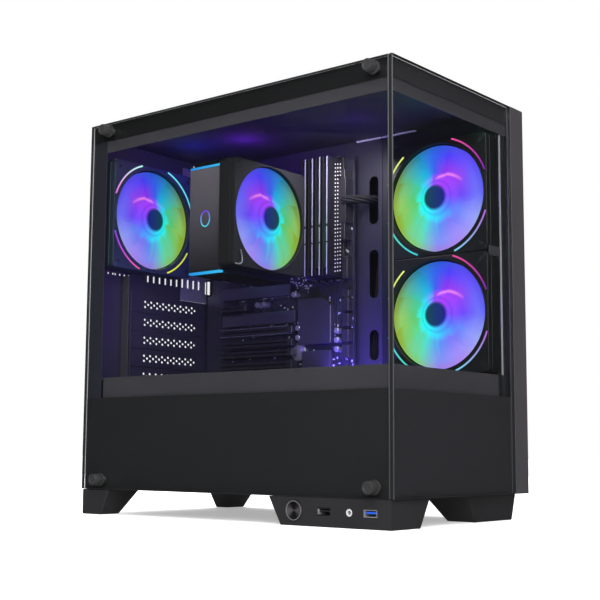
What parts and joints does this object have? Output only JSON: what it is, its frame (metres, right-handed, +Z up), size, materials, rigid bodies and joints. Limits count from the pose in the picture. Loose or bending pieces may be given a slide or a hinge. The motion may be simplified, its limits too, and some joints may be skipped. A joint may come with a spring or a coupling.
{
  "type": "desktop computer tower",
  "caption": "Upright computer tower with glass front and glass left side, steel frame, lit axial fans, power supply bay and a control foot with button and ports.",
  "frame": {"origin": "bottom centre of the whole object, on the ground", "axes": "+Z up, the front glass faces -Y, the left glass faces -X"},
  "size_m": [0.249, 0.411, 0.418],
  "materials": {
    "black_steel": "satin powder coat",
    "gray_steel": "satin powder coat",
    "tempered_glass": "polished, lightly tinted",
    "black_plastic": "fine matt moulding",
    "frosted_plastic": "frosted translucent, lit from the hub",
    "circuit_board": "solder mask",
    "aluminium": "extruded, satin",
    "blue_plastic": "moulded",
    "connector_metal": "nickel plated",
    "filter_mesh": "woven nylon mesh",
    "cable_sleeve": "matt sleeve"
  },
  "bodies": {
    "case": {"base_pan": "black_steel", "rear_panel": "black_steel", "motherboard_tray": "black_steel", "fan_bracket": "black_steel", "top_rail": "black_steel", "top_panel": "black_steel", "front_right_pillar": "black_steel", "rear_left_pillar": "black_steel", "psu_case": "black_steel", "slot_cover_1": "black_steel", "slot_cover_2": "black_steel", "slot_cover_3": "black_steel", "slot_cover_4": "black_steel", "slot_cover_5": "black_steel", "psu_shroud": "gray_steel", "front_corner_trim": "gray_steel", "io_plinth": "black_plastic", "usb_port_black": "black_plastic", "foot_rear_left": "black_plastic", "foot_rear_right": "black_plastic", "foot_front_right": "black_plastic", "side_fan_lower_frame": "black_plastic", "side_fan_upper_frame": "black_plastic", "rear_fan_frame": "black_plastic", "cooler_fan_frame": "black_plastic", "cooler_cover": "black_plastic", "expansion_slot": "black_plastic", "psu_inlet": "black_plastic", "memory_module_1": "black_plastic", "memory_module_2": "black_plastic", "memory_module_3": "black_plastic", "memory_module_4": "black_plastic", "usb_port_blue": "blue_plastic", "audio_jack": "connector_metal", "rear_io_block": "connector_metal", "io_shield": "connector_metal", "front_io_board": "circuit_board", "motherboard": "circuit_board", "cpu": "aluminium", "cooler_heatsink": "aluminium", "vrm_heatsink": "aluminium", "chipset_heatsink": "aluminium", "power_cable": "cable_sleeve"},
    "left_glass_panel": {"left_glass": "tempered_glass"},
    "front_glass_panel": {"front_glass": "tempered_glass"},
    "right_side_panel": {"right_panel": "black_steel"},
    "top_filter_panel": {"top_filter": "filter_mesh"},
    "power_button": {"power_button": "black_plastic"},
    "psu_switch": {"psu_switch": "black_plastic"},
    "knob_front_lower": {"glass_knob_front_lower": "black_plastic"},
    "knob_front_upper": {"glass_knob_front_upper": "black_plastic"},
    "knob_rear_lower": {"glass_knob_rear_lower": "black_plastic"},
    "knob_rear_upper": {"glass_knob_rear_upper": "black_plastic"},
    "panel_screw_lower": {"panel_screw_lower": "black_plastic"},
    "panel_screw_upper": {"panel_screw_upper": "black_plastic"},
    "side_fan_lower": {"side_fan_lower_rotor": "frosted_plastic"},
    "side_fan_upper": {"side_fan_upper_rotor": "frosted_plastic"},
    "rear_fan": {"rear_fan_rotor": "frosted_plastic"},
    "cooler_fan": {"cooler_fan_rotor": "frosted_plastic"},
    "psu_fan": {"psu_fan_rotor": "frosted_plastic"}
  },
  "joints": [
    {"name": "left_glass_removal", "type": "slide", "parent": "case", "child": "left_glass_panel", "axis": [-1, 0, 0], "range_m": [0, 0.2]},
    {"name": "front_glass_removal", "type": "slide", "parent": "case", "child": "front_glass_panel", "axis": [0, -1, 0], "range_m": [0, 0.15]},
    {"name": "right_panel_removal", "type": "slide", "parent": "case", "child": "right_side_panel", "axis": [0, 1, 0], "range_m": [0, 0.42]},
    {"name": "top_filter_removal", "type": "slide", "parent": "case", "child": "top_filter_panel", "axis": [0, 0, 1], "range_m": [0, 0.12]},
    {"name": "power_button_press", "type": "slide", "parent": "case", "child": "power_button", "axis": [1, 0, 0], "range_m": [0, 0.0015], "stiffness_N_per_m": 600, "springref_m": -0.001},
    {"name": "psu_switch_rock", "type": "hinge", "parent": "case", "child": "psu_switch", "pos_m": [-0.0445, 0.1902, 0.096], "axis": [1, 0, 0], "range_deg": [0, 16]},
    {"name": "knob_front_lower_turn", "type": "hinge", "parent": "left_glass_panel", "child": "knob_front_lower", "pos_m": [-0.1185, -0.1855, 0.036], "axis": [-1, 0, 0], "continuous": true},
    {"name": "knob_front_upper_turn", "type": "hinge", "parent": "left_glass_panel", "child": "knob_front_upper", "pos_m": [-0.1185, -0.1855, 0.408], "axis": [-1, 0, 0], "continuous": true},
    {"name": "knob_rear_lower_turn", "type": "hinge", "parent": "left_glass_panel", "child": "knob_rear_lower", "pos_m": [-0.1185, 0.1645, 0.036], "axis": [-1, 0, 0], "continuous": true},
    {"name": "knob_rear_upper_turn", "type": "hinge", "parent": "left_glass_panel", "child": "knob_rear_upper", "pos_m": [-0.1185, 0.1645, 0.408], "axis": [-1, 0, 0], "continuous": true},
    {"name": "panel_screw_lower_turn", "type": "hinge", "parent": "right_side_panel", "child": "panel_screw_lower", "pos_m": [0.1155, 0.1995, 0.086], "axis": [0, 1, 0], "continuous": true},
    {"name": "panel_screw_upper_turn", "type": "hinge", "parent": "right_side_panel", "child": "panel_screw_upper", "pos_m": [0.1155, 0.1995, 0.366], "axis": [0, 1, 0], "continuous": true},
    {"name": "side_fan_lower_spin", "type": "hinge", "parent": "case", "child": "side_fan_lower", "pos_m": [0.0675, -0.1405, 0.2041], "axis": [-1, 0, 0], "continuous": true},
    {"name": "side_fan_upper_spin", "type": "hinge", "parent": "case", "child": "side_fan_upper", "pos_m": [0.0675, -0.1405, 0.3245], "axis": [-1, 0, 0], "continuous": true},
    {"name": "rear_fan_spin", "type": "hinge", "parent": "case", "child": "rear_fan", "pos_m": [-0.0375, 0.1795, 0.323], "axis": [0, -1, 0], "continuous": true},
    {"name": "cooler_fan_spin", "type": "hinge", "parent": "case", "child": "cooler_fan", "pos_m": [-0.0265, 0.0175, 0.307], "axis": [0, -1, 0], "continuous": true},
    {"name": "psu_fan_spin", "type": "hinge", "parent": "case", "child": "psu_fan", "pos_m": [0.0005, 0.1205, 0.04], "axis": [0, 0, 1], "continuous": true}
  ]
}
